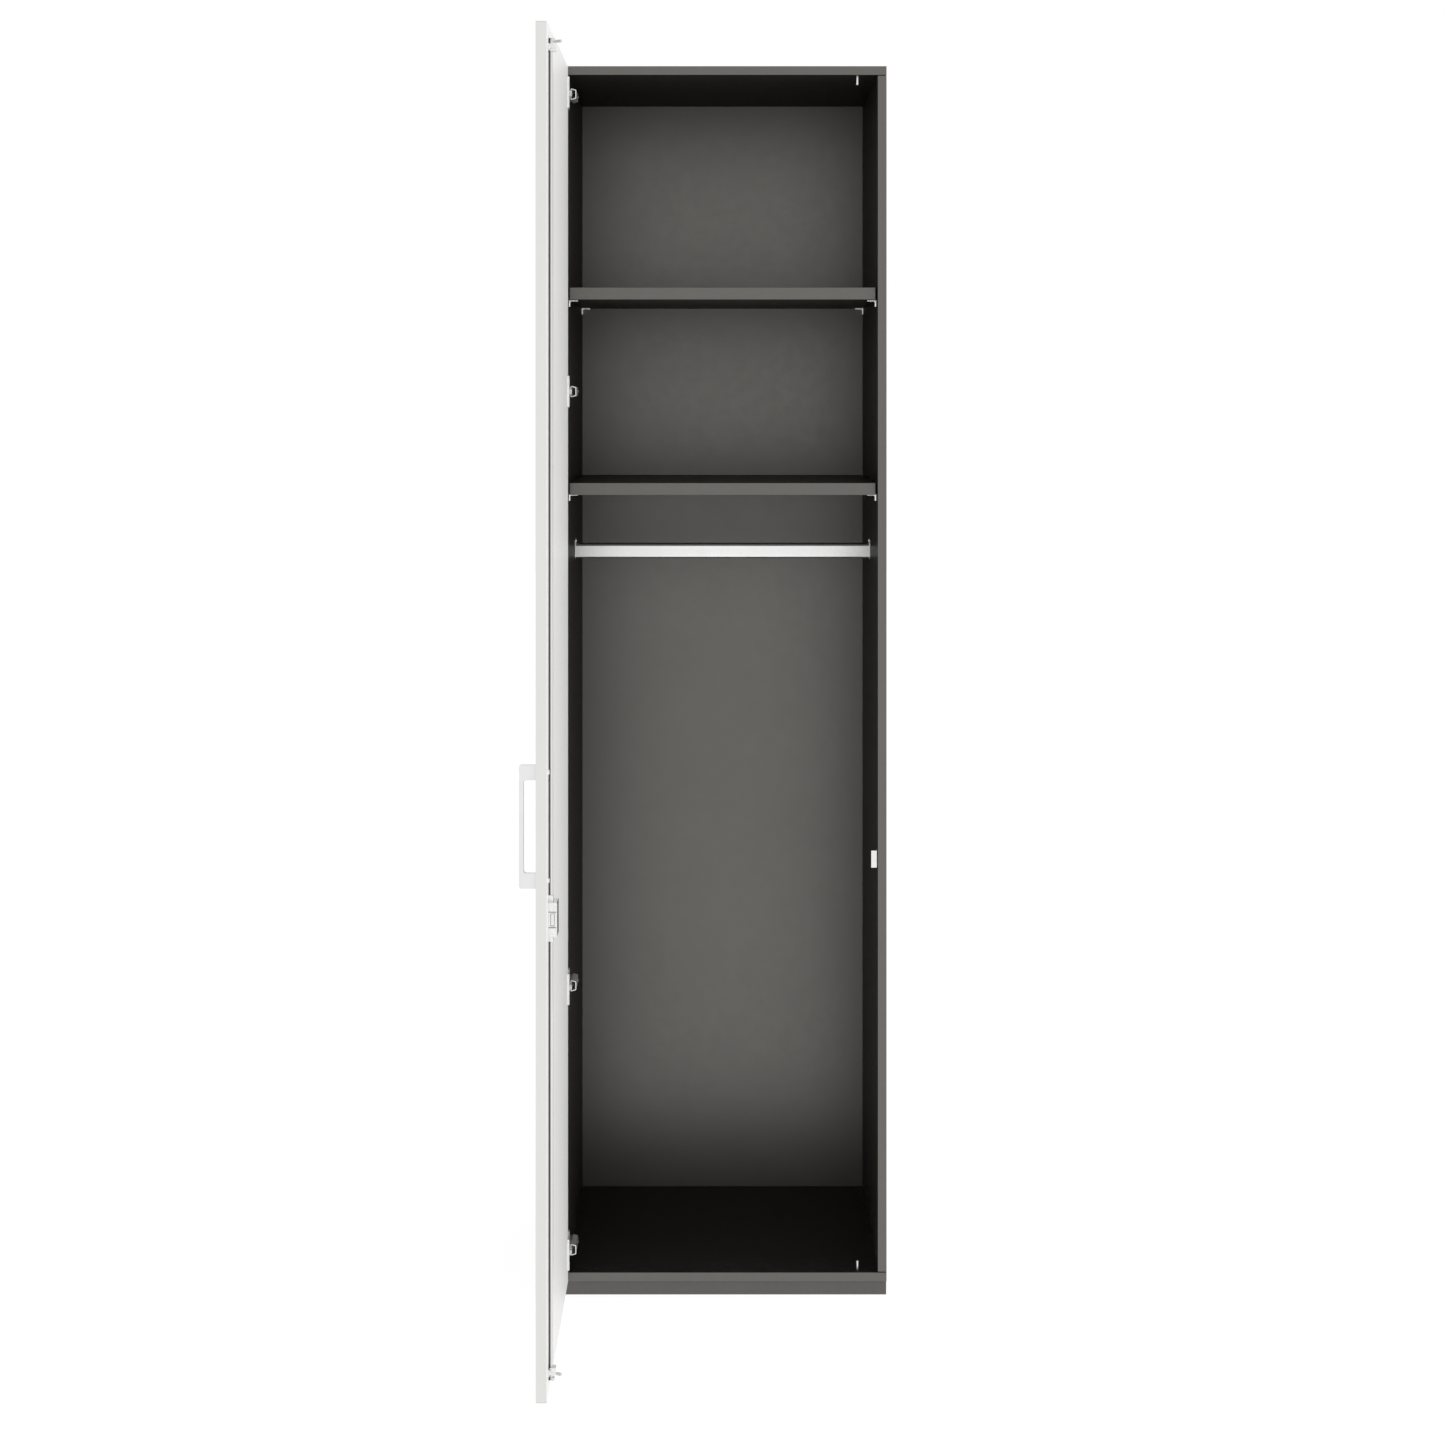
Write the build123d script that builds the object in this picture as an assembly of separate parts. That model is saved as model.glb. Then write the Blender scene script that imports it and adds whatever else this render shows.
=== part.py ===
from build123d import *
import os
from math import atan2, degrees, hypot, pi, radians, sin

# A tall one-door locker cabinet, drawn with its door standing open at a right angle.
# Millimetres. X runs to the right seen from the front, Y to the back, Z up.
# The origin is on the floor under the middle of the carcass.

# Carcass boards
cabinet_width = 600.0
cabinet_depth = 560.0
cabinet_height = 2250.0
board_thickness = 16.0
back_thickness = 8.0
back_inset = 12.0
groove_depth = 6.0
groove_play = 0.2
edge_band = 1.0
edge_round = 0.6
joint_groove = 1.4
joint_groove_front = 8.0
joint_groove_side = 3.0

# Dowels between the upright sides and the top and bottom panels
dowel_radius = 4.0
dowel_in_panel = 10.0
dowel_in_side = 20.0
dowel_edge_distance = 50.0
dowel_play = 0.05
dowel_end_play = 0.5

# Plinth, a ring of folded steel channel
plinth_height = 28.0
plinth_setback = 12.0
plinth_sheet = 2.0
plinth_flange = 25.0
plinth_screw_spread = 200.0

# Shelves, whose heights are measured down from the top of the cabinet
shelf_thickness = 22.0
shelf_setback = 20.0
shelf_end_gap = 3.0
shelf_rear_gap = 2.0
upper_shelf_drop = 404.0
lower_shelf_drop = 763.0

# Shelf supports, small angles with a pin
support_sheet = 2.2
support_round = 3.0
support_reach = 14.0
support_height = 9.6
support_width = 14.0
support_end_width = 10.0
support_pin_radius = 2.5
support_pin_length = 9.0
support_pin_play = 0.05
support_front_distance = 64.0
support_rear_distance = 19.0

# Hanging rail, an oval tube on the spigots of two sockets, half way from the front to the back panel
rail_height = 30.0
rail_width = 15.0
rail_wall = 1.2
rail_drop = 901.0
rail_end_play = 0.5
socket_base = 1.0
socket_spigot = 12.0
socket_play = 0.2
socket_rim = 2.0

# Wood screws with a cross recess
screw_head_radius = 3.4
screw_head_height = 1.8
screw_radius = 1.75
screw_length = 12.0
screw_play = 0.05
screw_end_play = 0.5
cross_length = 3.8
cross_width = 0.8
cross_depth = 0.9

# Door, whose gaps set where its hinge axis has to be
door_thickness = 18.0
door_side_gap = 1.5
door_end_gap = 1.0
door_front_gap = 3.5
door_open_gap = 4.0
door_open_step = 1.8

# Cup hinges
top_hinge_drop = 51.0
upper_hinge_drop = 595.0
lower_hinge_rise = 568.0
bottom_hinge_rise = 85.0
cup_radius = 17.5
cup_depth = 12.7
cup_wall = 1.0
cup_edge_distance = 3.0
cup_play = 0.1
cup_flange_sheet = 3.8
cup_flange_round = 2.0
cup_mouth = 4.5
cup_flange_height = 57.0
cup_flange_width = 11.0
hinge_pin_radius = 1.5
hinge_pin_play = 0.05
knuckle_radius = 2.9
knuckle_height = 9.0
knuckle_side_play = 0.3
ear_height = 4.0
tongue_sheet = 2.0
stem_sheet = 3.0
arm_width = 10.4
arm_height = 21.6
arm_top_height = 15.6
arm_wall = 1.5
arm_round = 2.0
arm_length = 60.0
arm_overlap = 20.0
arm_setback = 2.0
plate_thickness = 6.0
plate_bar_height = 16.0
plate_wing_sheet = 2.4
plate_wing_height = 50.0
plate_wing_width = 14.0
plate_front_distance = 37.0
plate_screw_spread = 16.0
arm_screw_distance = 50.0
arm_screw_grip = 4.0

# Bow handle
handle_length = 200.0
handle_reach = 28.8
handle_bar = 8.0
handle_leg = 25.0
handle_width = 12.0
handle_round = 4.0
handle_ease = 0.8
handle_rise = 951.0
handle_edge_distance = 30.0
handle_screw_radius = 2.0
handle_screw_head_radius = 4.0
handle_screw_head_height = 2.5
handle_screw_grip = 12.0

# Strike for the bolt, an angle on the right side
strike_reach = 12.0
strike_depth = 22.0
strike_height = 31.0
strike_sheet = 1.2
strike_bend = 4.5
strike_screw_spread = 9.0
strike_screw_distance = 14.0

# Rod lock on the inner face of the door
lock_rise = 800.0
lock_strike_gap = 1.5
lock_width = 41.0
lock_height = 55.0
lock_depth = 15.0
lock_sheet = 1.2
lock_screw_inset = 6.0
seam_rise = 12.6
seam_width = 1.2
boss_width = 10.0
boss_depth = 8.0
boss_length = 10.0
boss_round = 2.0
boss_gap = 0.3
rod_inset = 17.0
rod_radius = 3.5
rod_gap = 0.4
rod_play = 0.05
spindle_radius = 2.2
rod_grip = 8.0

# Gearing in the lock: the key's pinion drives a rack on the bolt, whose fork turns the crank of the rods
pinion_teeth = 8
pitch_radius = 3.8
tooth_addendum = 0.55
tooth_dedendum = 0.8
tooth_share = 0.38
tooth_taper = 0.1
gear_face = 5.4
gear_play = 0.3
rack_teeth_behind = 3
rack_teeth_ahead = 1
rod_swing = 45.0
crank_height = 4.0
crank_web = 1.6
crank_end_radius = 1.3
fork_play = 0.2
fork_wall = 1.6
fork_depth = 2.7
fork_grip = 3.8

# Dead bolt
bolt_height = 19.0
bolt_thickness = 5.0
bolt_strike_play = 0.3
bolt_slot_play = 0.8
bolt_set_back = 0.8
bolt_tail_sheet = 2.0
bolt_lift = 0.5

# Key cylinder
plug_spacing = 11.0
plug_radius = 5.0
plug_play = 0.05
cylinder_radius = 9.0
cylinder_play = 0.1
cylinder_end = 1.0
rosette_radius = 12.0
rosette_thickness = 2.0
shaft_clearance = 0.4
keyway_width = 1.2
keyway_height = 6.0
keyway_depth = 5.0

# Lock pins in the top and bottom panels, hooks on the rods that turn round them, and rod guides
lock_pin_radius = 2.5
lock_pin_length = 16.5
lock_pin_grip = 10.0
lock_pin_play = 0.05
lock_pin_offset = 6.0
lock_pin_depth = 16.7
hook_gap = 7.0
hook_thickness = 4.5
hook_hub_radius = 6.5
hook_hub_span = 185.0
hook_play = 0.7
hook_finger = 3.0
hook_clear = 26.0
hook_span = 48.0
hook_web_span = 16.0
guide_gap = 5.3
guide_height = 11.7
guide_depth = 12.3
guide_round = 2.0
guide_width = 16.0
guide_foot_width = 32.0
guide_foot_sheet = 2.5

# Places that follow from the sizes
half_width = cabinet_width / 2
front = -cabinet_depth / 2
rear = cabinet_depth / 2
inner_half = half_width - board_thickness
floor_top = plinth_height + board_thickness
ceiling = cabinet_height - board_thickness
back_face = rear - back_inset - back_thickness
side_middle = half_width - board_thickness / 2
dowel_rows = (front + dowel_edge_distance, 0.0, rear - dowel_edge_distance)
shelf_tops = (cabinet_height - upper_shelf_drop, cabinet_height - lower_shelf_drop)
support_rows = (front + support_front_distance, back_face - support_rear_distance)
rail_y = (front + back_face) / 2
rail_z = cabinet_height - rail_drop
socket_screw_rise = rail_height / 2 + screw_head_radius + socket_rim / 2

# The closed door, and the hinge axis that swings it open in front of the left side
door_left = -half_width + door_side_gap
door_right = half_width - door_side_gap
door_low = plinth_height + door_end_gap
door_high = cabinet_height - door_end_gap
door_inner = front - door_front_gap
door_outer = door_inner - door_thickness
open_inner = board_thickness + door_open_step
hinge_x = -half_width + (open_inner + door_front_gap + door_side_gap - door_open_gap) / 2
hinge_y = front + (door_side_gap - door_open_gap - open_inner - door_front_gap) / 2
hinge_heights = (
    cabinet_height - top_hinge_drop,
    cabinet_height - upper_hinge_drop,
    lower_hinge_rise,
    bottom_hinge_rise,
)
cup_x = door_left + cup_edge_distance + cup_radius
cup_screw_spread = (cup_radius + cup_flange_height / 2) / 2
arm_left = -inner_half + plate_thickness
arm_right = arm_left + arm_width
plate_y = front + plate_front_distance

# The lock on the closed door
lock_near = inner_half - strike_reach - lock_strike_gap
lock_far = lock_near - lock_width
lock_low = lock_rise - lock_height / 2
lock_high = lock_rise + lock_height / 2
boss_low = lock_low - boss_length
boss_high = lock_high + boss_length
rod_ends = (boss_low - boss_gap, boss_high + boss_gap)
rod_x = lock_near - rod_inset
rod_y = door_inner + rod_gap + rod_radius
plug_x = rod_x - plug_spacing
tooth_pitch = 2 * pi * pitch_radius / pinion_teeth
pinion_outer = pitch_radius + tooth_addendum
pinion_root = pitch_radius - tooth_dedendum
rack_low = lock_rise + pitch_radius + tooth_dedendum
rack_high = rack_low + gear_face
rack_teeth = range(-rack_teeth_behind, rack_teeth_ahead + 1)
bolt_back = rod_y + spindle_radius + bolt_lift
bolt_face = bolt_back + bolt_tail_sheet
bolt_nose_y = front + strike_sheet + bolt_strike_play
bolt_top_y = bolt_nose_y + bolt_thickness
bolt_low = lock_rise - bolt_height / 2
bolt_high = lock_rise + bolt_height / 2
bolt_travel = pitch_radius * pi / 2
bolt_nose_end = lock_near - bolt_set_back
fork_end = lock_near - lock_sheet - bolt_travel - gear_play
crank_reach = bolt_travel / (2 * sin(radians(rod_swing / 2)))
crank_high = bolt_low + crank_height
fork_x = rod_x - bolt_travel / 2
handle_x = door_right - handle_edge_distance
handle_screw_z = (handle_length - handle_leg) / 2
hook_inner = hypot(lock_pin_offset, lock_pin_depth) + lock_pin_radius + hook_play
hook_outer = hook_inner + hook_finger
hook_start = degrees(atan2(lock_pin_depth, -lock_pin_offset)) + hook_clear
hook_web_start = hook_start + hook_span - hook_web_span
hook_hub_start = 90 + (rod_swing - hook_hub_span) / 2


# Shapes used throughout


def block(x, y, z):
    """A box between a low and a high value on each axis."""
    size = [high - low for low, high in (x, y, z)]
    middle = [(high + low) / 2 for low, high in (x, y, z)]
    return Pos(*middle) * Box(*size)


def mirrored(low, high, side):
    """A span on the right of the middle, or its mirror on the left."""
    return (low, high) if side > 0 else (-high, -low)


def post(x, y, z, radius):
    """An upright round bar between two heights."""
    low, high = z
    return Pos(x, y, (low + high) / 2) * Cylinder(radius, high - low)


def bar_along_y(x, z, y, radius):
    """A round bar from front to back."""
    low, high = y
    return Pos(x, (low + high) / 2, z) * Rot(90, 0, 0) * Cylinder(radius, high - low)


def bar_along_x(y, z, x, radius):
    """A round bar from left to right."""
    low, high = x
    return Pos((low + high) / 2, y, z) * Rot(0, 90, 0) * Cylinder(radius, high - low)


def screw(seat, outward):
    """A wood screw with its head on the seat, pointing the other way."""
    head = Pos(0, 0, screw_head_height / 2) * Cylinder(screw_head_radius, screw_head_height)
    recess = Box(cross_length, cross_width, 2 * cross_depth) + Box(cross_width, cross_length, 2 * cross_depth)
    shank = Pos(0, 0, -screw_length / 2) * Cylinder(screw_radius, screw_length)
    return Plane(seat, z_dir=outward) * (head - Pos(0, 0, screw_head_height) * recess + shank)


def screw_hole(seat, outward):
    """The hole that a wood screw's shank goes down, from its seat."""
    depth = screw_length + screw_end_play
    return Plane(seat, z_dir=outward) * Pos(0, 0, -depth / 2) * Cylinder(screw_radius + screw_play, depth)


def screws(seats, outward):
    """A group of like screws."""
    return [screw(seat, outward) for seat in seats]


def drilled(shape, seats, outward):
    """A piece with a screw hole at each seat."""
    return shape - [screw_hole(seat, outward) for seat in seats]


def eased(shape, axis, last):
    """An edge band whose outer face, first or last along an axis, has rounded edges."""
    face = shape.faces().sort_by(axis)[-1 if last else 0]
    return fillet(face.edges(), edge_round)


def bent(angle, axis, corner, radius):
    """An angle whose edge along an axis, the one nearest to a corner, is rounded."""
    edge = angle.edges().filter_by(axis).sort_by_distance(corner)[0]
    return fillet([edge], radius)


def oval(height, width):
    """An upright oval seen from the side."""
    return SlotOverall(height, width, rotation=90)


def pinion(contact_angle):
    """A flat toothed wheel with a gap between teeth at the contact angle."""
    wheel = Circle(pinion_root)
    half_root = tooth_pitch * (tooth_share / 2 + tooth_taper / 2)
    half_tip = tooth_pitch * (tooth_share / 2 - tooth_taper / 2)
    foot = pinion_root - tooth_addendum
    corners = [(foot, -half_root), (pinion_outer, -half_tip), (pinion_outer, half_tip), (foot, half_root)]
    tooth = make_face(Polyline(*corners, close=True))
    step = 360 / pinion_teeth
    for index in range(pinion_teeth):
        wheel += Rot(0, 0, contact_angle + (index + 0.5) * step) * tooth
    return wheel


def rack_tooth():
    """One tooth of a rack that stands on the x axis and points along y."""
    half_root = tooth_pitch * (tooth_share / 2 + tooth_taper / 2)
    half_tip = tooth_pitch * (tooth_share / 2 - tooth_taper / 2)
    tip = tooth_dedendum + tooth_addendum
    return make_face(Polyline((-half_root, 0), (half_root, 0), (half_tip, tip), (-half_tip, tip), close=True))


def ring_sector(inner, outer, start, span):
    """A flat piece of a ring between two radii, from a start angle over a span."""
    outer_arc = CenterArc((0, 0), outer, start, span)
    inner_arc = CenterArc((0, 0), inner, start, span)
    sides = [Line(inner_arc @ 0, outer_arc @ 0), Line(inner_arc @ 1, outer_arc @ 1)]
    return make_face([outer_arc, inner_arc, *sides])


def opened(shapes):
    """Pieces of the closed door, swung open by a right angle about the hinge axis."""
    swing = Pos(hinge_x, hinge_y, 0) * Rot(0, 0, -90) * Pos(-hinge_x, -hinge_y, 0)
    return [swing * shape for shape in shapes]


# Where screws sit


def hinge_plate_seats(height):
    """The two screws of a hinge's mounting plate, whose heads lie flush in its wings."""
    x = -inner_half + plate_wing_sheet - screw_head_height
    return [(x, plate_y, height + side * plate_screw_spread) for side in (-1, 1)]


def cup_seats(height):
    """The two screws of a hinge cup on the closed door, whose heads lie flush in its flange."""
    y = door_inner + cup_flange_sheet - screw_head_height
    return [(cup_x, y, height + side * cup_screw_spread) for side in (-1, 1)]


def socket_seat(side):
    """The screw above the rail in a rail socket."""
    return (side * (inner_half - socket_base), rail_y, rail_z + socket_screw_rise)


strike_seats = [
    (inner_half - strike_sheet, front + strike_screw_distance, lock_rise + side * strike_screw_spread)
    for side in (-1, 1)
]
lock_seats = [
    (x, door_inner + lock_sheet, z)
    for x in (lock_far + lock_screw_inset, lock_near - lock_screw_inset)
    for z in (lock_low + lock_screw_inset, lock_high - lock_screw_inset)
]
plinth_seats = [
    (x, y, plinth_height - plinth_sheet)
    for x in (-plinth_screw_spread, 0.0, plinth_screw_spread)
    for y in (front + plinth_setback + plinth_flange / 2, rear - plinth_flange / 2)
]
plinth_screw_way = (0, 0, -1)
left_screw_way = (1, 0, 0)
right_screw_way = (-1, 0, 0)
door_screw_way = (0, 1, 0)


def hook_span_z(top):
    """The low and high face of the hook at the top or bottom of the rods."""
    if top:
        return (ceiling - hook_gap - hook_thickness, ceiling - hook_gap)
    return (floor_top + hook_gap, floor_top + hook_gap + hook_thickness)


def guide_span_z(top):
    """The low and high face of the rod guide beside a hook."""
    hook_low, hook_high = hook_span_z(top)
    if top:
        return (hook_low - guide_gap - guide_height, hook_low - guide_gap)
    return (hook_high + guide_gap, hook_high + guide_gap + guide_height)


def guide_seats(top):
    """The two screws of a rod guide on the closed door."""
    z = sum(guide_span_z(top)) / 2
    reach = (guide_width + guide_foot_width) / 4
    return [(rod_x + side * reach, door_inner + guide_foot_sheet, z) for side in (-1, 1)]


# Carcass


def dowels(play=0.0, end_play=0.0):
    """All dowels, or with plays the holes that they stand in."""
    bars = []
    for x in (-side_middle, side_middle):
        for y in dowel_rows:
            upper = (ceiling - dowel_in_side - end_play, ceiling + dowel_in_panel + end_play)
            lower = (floor_top - dowel_in_panel - end_play, floor_top + dowel_in_side + end_play)
            bars.append(post(x, y, upper, dowel_radius + play))
            bars.append(post(x, y, lower, dowel_radius + play))
    return bars


def back_panel(play=0.0):
    """The back, or with play the space that its grooves leave for it."""
    reach = groove_depth - groove_play + play
    return block(
        (-inner_half - reach, inner_half + reach),
        (back_face - play / 2, back_face + back_thickness + play / 2),
        (floor_top - reach, ceiling + reach),
    )


def support_pins(side, radius, length):
    """The pins of all shelf supports on one side, or their holes."""
    x = mirrored(inner_half, inner_half + length, side)
    return [
        bar_along_x(y, top - shelf_thickness - support_sheet - support_height / 2, x, radius)
        for top in shelf_tops
        for y in support_rows
    ]


def joint_grooves(side):
    """The shadow grooves at a side's two ends, round its front and its outside."""
    kept_x = mirrored(inner_half, half_width - joint_groove_side, side)
    kept_y = (front + joint_groove_front, rear)
    grooves = []
    for z in ((floor_top, floor_top + joint_groove), (ceiling - joint_groove, ceiling)):
        layer = block(mirrored(inner_half, half_width, side), (front, rear), z)
        grooves.append(layer - block(kept_x, kept_y, z))
    return grooves


def side_panel(side):
    """An upright side with its grooves and the holes that its fittings need."""
    panel = block(
        mirrored(inner_half, half_width, side), (front + edge_band, rear), (floor_top, ceiling)
    )
    panel -= joint_grooves(side)
    panel -= back_panel(groove_play)
    panel -= dowels(dowel_play, dowel_end_play)
    panel -= support_pins(side, support_pin_radius + support_pin_play, support_pin_length + screw_end_play)
    panel -= screw_hole(socket_seat(side), (-side, 0, 0))
    if side > 0:
        return drilled(panel, strike_seats, right_screw_way)
    for height in hinge_heights:
        panel = drilled(panel, hinge_plate_seats(height), left_screw_way)
    return panel


def lock_pins(play=0.0, end_play=0.0):
    """The lock pins at the top and the bottom, or their holes."""
    x = rod_x - lock_pin_offset
    y = rod_y + lock_pin_depth
    upper = (ceiling - lock_pin_length, ceiling + lock_pin_grip + end_play)
    lower = (floor_top - lock_pin_grip - end_play, floor_top + lock_pin_length)
    return [post(x, y, span, lock_pin_radius + play) for span in (upper, lower)]


def flat_panel(z):
    """The top or bottom panel inside its edge bands."""
    reach = half_width - edge_band
    panel = block((-reach, reach), (front + edge_band, rear), z)
    panel -= back_panel(groove_play)
    panel -= dowels(dowel_play, dowel_end_play)
    return panel - lock_pins(lock_pin_play, screw_end_play)


def carcass_bands():
    """Edge bands on the front of the four boards and on the ends of top and bottom."""
    bands = []
    front_span = (front, front + edge_band)
    for z in ((plinth_height, floor_top), (ceiling, cabinet_height)):
        bands.append(eased(block((-half_width, half_width), front_span, z), Axis.Y, False))
        for side in (-1, 1):
            x = mirrored(half_width - edge_band, half_width, side)
            bands.append(eased(block(x, (front + edge_band, rear), z), Axis.X, side > 0))
    upright = (floor_top + joint_groove, ceiling - joint_groove)
    for side in (-1, 1):
        x = mirrored(inner_half, half_width, side)
        bands.append(eased(block(x, front_span, upright), Axis.Y, False))
    return bands


def plinth_frame():
    """A ring of channel whose web faces out and whose flanges carry the bottom panel."""
    low_y = front + plinth_setback

    def inset(distance, z):
        x = (-half_width + distance, half_width - distance)
        return block(x, (low_y + distance, rear - distance), z)

    ring = inset(0, (0, plinth_height)) - inset(plinth_flange, (0, plinth_height))
    ring -= inset(plinth_sheet, (plinth_sheet, plinth_height - plinth_sheet))
    return drilled(ring, plinth_seats, plinth_screw_way)


# Shelves and rail


def shelf(top):
    """A loose shelf behind its edge band."""
    reach = inner_half - shelf_end_gap
    low_y = front + shelf_setback + edge_band
    return block((-reach, reach), (low_y, back_face - shelf_rear_gap), (top - shelf_thickness, top))


def shelf_band(top):
    """The band on a shelf's front edge."""
    reach = inner_half - shelf_end_gap
    low_y = front + shelf_setback
    band = block((-reach, reach), (low_y, low_y + edge_band), (top - shelf_thickness, top))
    return eased(band, Axis.Y, False)


def shelf_support(side, y, under):
    """An angle under a shelf, narrower at its free end, with a pin in the side."""
    low = under - support_sheet - support_height
    end = inner_half - support_sheet - support_reach
    width = (y - support_width / 2, y + support_width / 2)
    wall = block(mirrored(inner_half - support_sheet, inner_half, side), width, (low, under))
    ledge = block(mirrored(end, inner_half, side), width, (under - support_sheet, under))
    corner = (side * (inner_half - support_sheet), y, under - support_sheet)
    angle = bent(wall + ledge, Axis.Y, corner, support_round)
    outline = Polyline(
        (side * inner_half, y - support_width / 2),
        (side * end, y - support_end_width / 2),
        (side * end, y + support_end_width / 2),
        (side * inner_half, y + support_width / 2),
        close=True,
    )
    angle &= extrude(Pos(0, 0, low) * make_face(outline), amount=under - low, dir=(0, 0, 1))
    pin_x = mirrored(inner_half - support_sheet, inner_half + support_pin_length, side)
    return angle + bar_along_x(y, low + support_height / 2, pin_x, support_pin_radius)


def shelf_supports(top):
    """Four angles under a shelf."""
    return [shelf_support(side, y, top - shelf_thickness) for side in (-1, 1) for y in support_rows]


def hanging_rail():
    """The oval tube from one socket's base to the other's."""
    reach = inner_half - socket_base - rail_end_play
    section = oval(rail_height, rail_width) - oval(rail_height - 2 * rail_wall, rail_width - 2 * rail_wall)
    return Pos(0, rail_y, rail_z) * extrude(Plane.YZ * section, amount=reach, both=True)


def rail_socket(side):
    """A base on the side panel with a spigot inside the end of the rail."""
    inside = 2 * (rail_wall + socket_play)
    spigot_face = oval(rail_height - inside, rail_width - inside)
    spigot = extrude(Plane.YZ * spigot_face, amount=socket_base + socket_spigot)
    low_z = -rail_height / 2 - socket_rim
    high_z = socket_screw_rise + screw_head_radius + socket_rim
    plate_face = Pos(0, (low_z + high_z) / 2) * oval(high_z - low_z, rail_width + 2 * socket_rim)
    plate = extrude(Plane.YZ * plate_face, amount=socket_base)
    turn = Rot(0, 0, 180) if side > 0 else Rot(0, 0, 0)
    placed = Pos(side * inner_half, rail_y, rail_z) * turn * (plate + spigot)
    return placed - screw_hole(socket_seat(side), (-side, 0, 0))


# Hinges


def hinge_plate(height):
    """The plate on the left side that carries a hinge arm."""
    x = (-inner_half, -inner_half + plate_thickness)
    bar = block(
        x,
        (front + arm_setback + arm_overlap, front + arm_setback + arm_length),
        (height - plate_bar_height / 2, height + plate_bar_height / 2),
    )
    wing = block(
        (-inner_half, -inner_half + plate_wing_sheet),
        (plate_y - plate_wing_width / 2, plate_y + plate_wing_width / 2),
        (height - plate_wing_height / 2, height + plate_wing_height / 2),
    )
    wing = fillet(wing.edges().filter_by(Axis.X), plate_wing_width / 2 - screw_end_play)
    plate = drilled(bar + wing, hinge_plate_seats(height), left_screw_way)
    for x, y, z in hinge_plate_seats(height):
        plate -= bar_along_x(y, z, (x, x + screw_head_height), screw_head_radius + screw_play)
    return plate - arm_screw_hole(height)


def arm_screw_hole(height):
    """The hole for the screw that clamps an arm to its plate."""
    x = (arm_left - arm_screw_grip - screw_end_play, arm_right)
    return bar_along_x(front + arm_screw_distance, height, x, screw_radius + screw_play)


def arm_screw(height):
    """The screw through a hinge arm into its plate, with a cross recess."""
    y = front + arm_screw_distance
    shank = bar_along_x(y, height, (arm_left - arm_screw_grip, arm_right), screw_radius)
    head = bar_along_x(y, height, (arm_right, arm_right + screw_head_height), screw_head_radius)
    recess = Box(2 * cross_depth, cross_length, cross_width) + Box(2 * cross_depth, cross_width, cross_length)
    return head - Pos(arm_right + screw_head_height, y, height) * recess + shank


def arm_section():
    """The hollow section of a hinge arm, taller towards the side panel."""
    outline = Polyline(
        (-arm_width / 2, -arm_height / 2),
        (arm_width / 2, -arm_top_height / 2),
        (arm_width / 2, arm_top_height / 2),
        (-arm_width / 2, arm_height / 2),
        close=True,
    )
    face = make_face(outline)
    face = fillet(face.vertices(), arm_round)
    return face - offset(face, -arm_wall)


def hinge_arm(height):
    """A hollow arm along the left side, with a stem and tongue that reach to the knuckle."""
    start = front + arm_setback
    tube = extrude(Plane.XZ * arm_section(), amount=-arm_length)
    arm = Pos((arm_left + arm_right) / 2, start, height) * tube
    z = (height - knuckle_height / 2, height + knuckle_height / 2)
    tongue_front = hinge_y - knuckle_radius
    arm += block((arm_left, arm_left + stem_sheet), (tongue_front, start + arm_overlap), z)
    arm += block((hinge_x, arm_left + stem_sheet), (tongue_front, tongue_front + tongue_sheet), z)
    arm += post(hinge_x, hinge_y, z, knuckle_radius)
    arm -= hinge_pin(height, hinge_pin_play)
    return arm - arm_screw_hole(height)


def hinge_pin(height, play=0.0):
    """The pin through the knuckle and the ears of the cup, or with play its bore."""
    reach = knuckle_height / 2 + knuckle_side_play + ear_height
    return post(hinge_x, hinge_y, (height - reach, height + reach), hinge_pin_radius + play)


def hinge_cup(height):
    """A cup in the closed door, open where the arm swings, with a screw flange and ears for the pin."""
    floor = door_inner - cup_depth
    flange_y = (door_inner, door_inner + cup_flange_sheet)
    body = bar_along_y(cup_x, height, (floor, door_inner), cup_radius)
    flange = block(
        (cup_x - cup_flange_width / 2, cup_x + cup_flange_width / 2),
        flange_y,
        (height - cup_flange_height / 2, height + cup_flange_height / 2),
    )
    flange = fillet(flange.edges().filter_by(Axis.Y), cup_flange_round)
    room_y = (floor + cup_wall, door_inner + cup_flange_sheet)
    room_z = (height - cup_radius, height + cup_radius)
    room = bar_along_y(cup_x, height, room_y, cup_radius - cup_wall)
    room &= block((cup_x - cup_radius, cup_x + cup_mouth), room_y, room_z)
    cup = body + flange - room
    for side in (-1, 1):
        near = height + side * (knuckle_height / 2 + knuckle_side_play)
        z = sorted((near, near + side * ear_height))
        ear = post(hinge_x, hinge_y, z, knuckle_radius)
        foot = block((hinge_x - knuckle_radius, hinge_x + knuckle_radius), (floor, hinge_y), z)
        cup += (ear + foot) & body
    cup -= hinge_pin(height, hinge_pin_play)
    for x, y, z in cup_seats(height):
        cup -= bar_along_y(x, z, (y, flange_y[1]), screw_head_radius + screw_play)
    return drilled(cup, cup_seats(height), door_screw_way)


# Door


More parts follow.
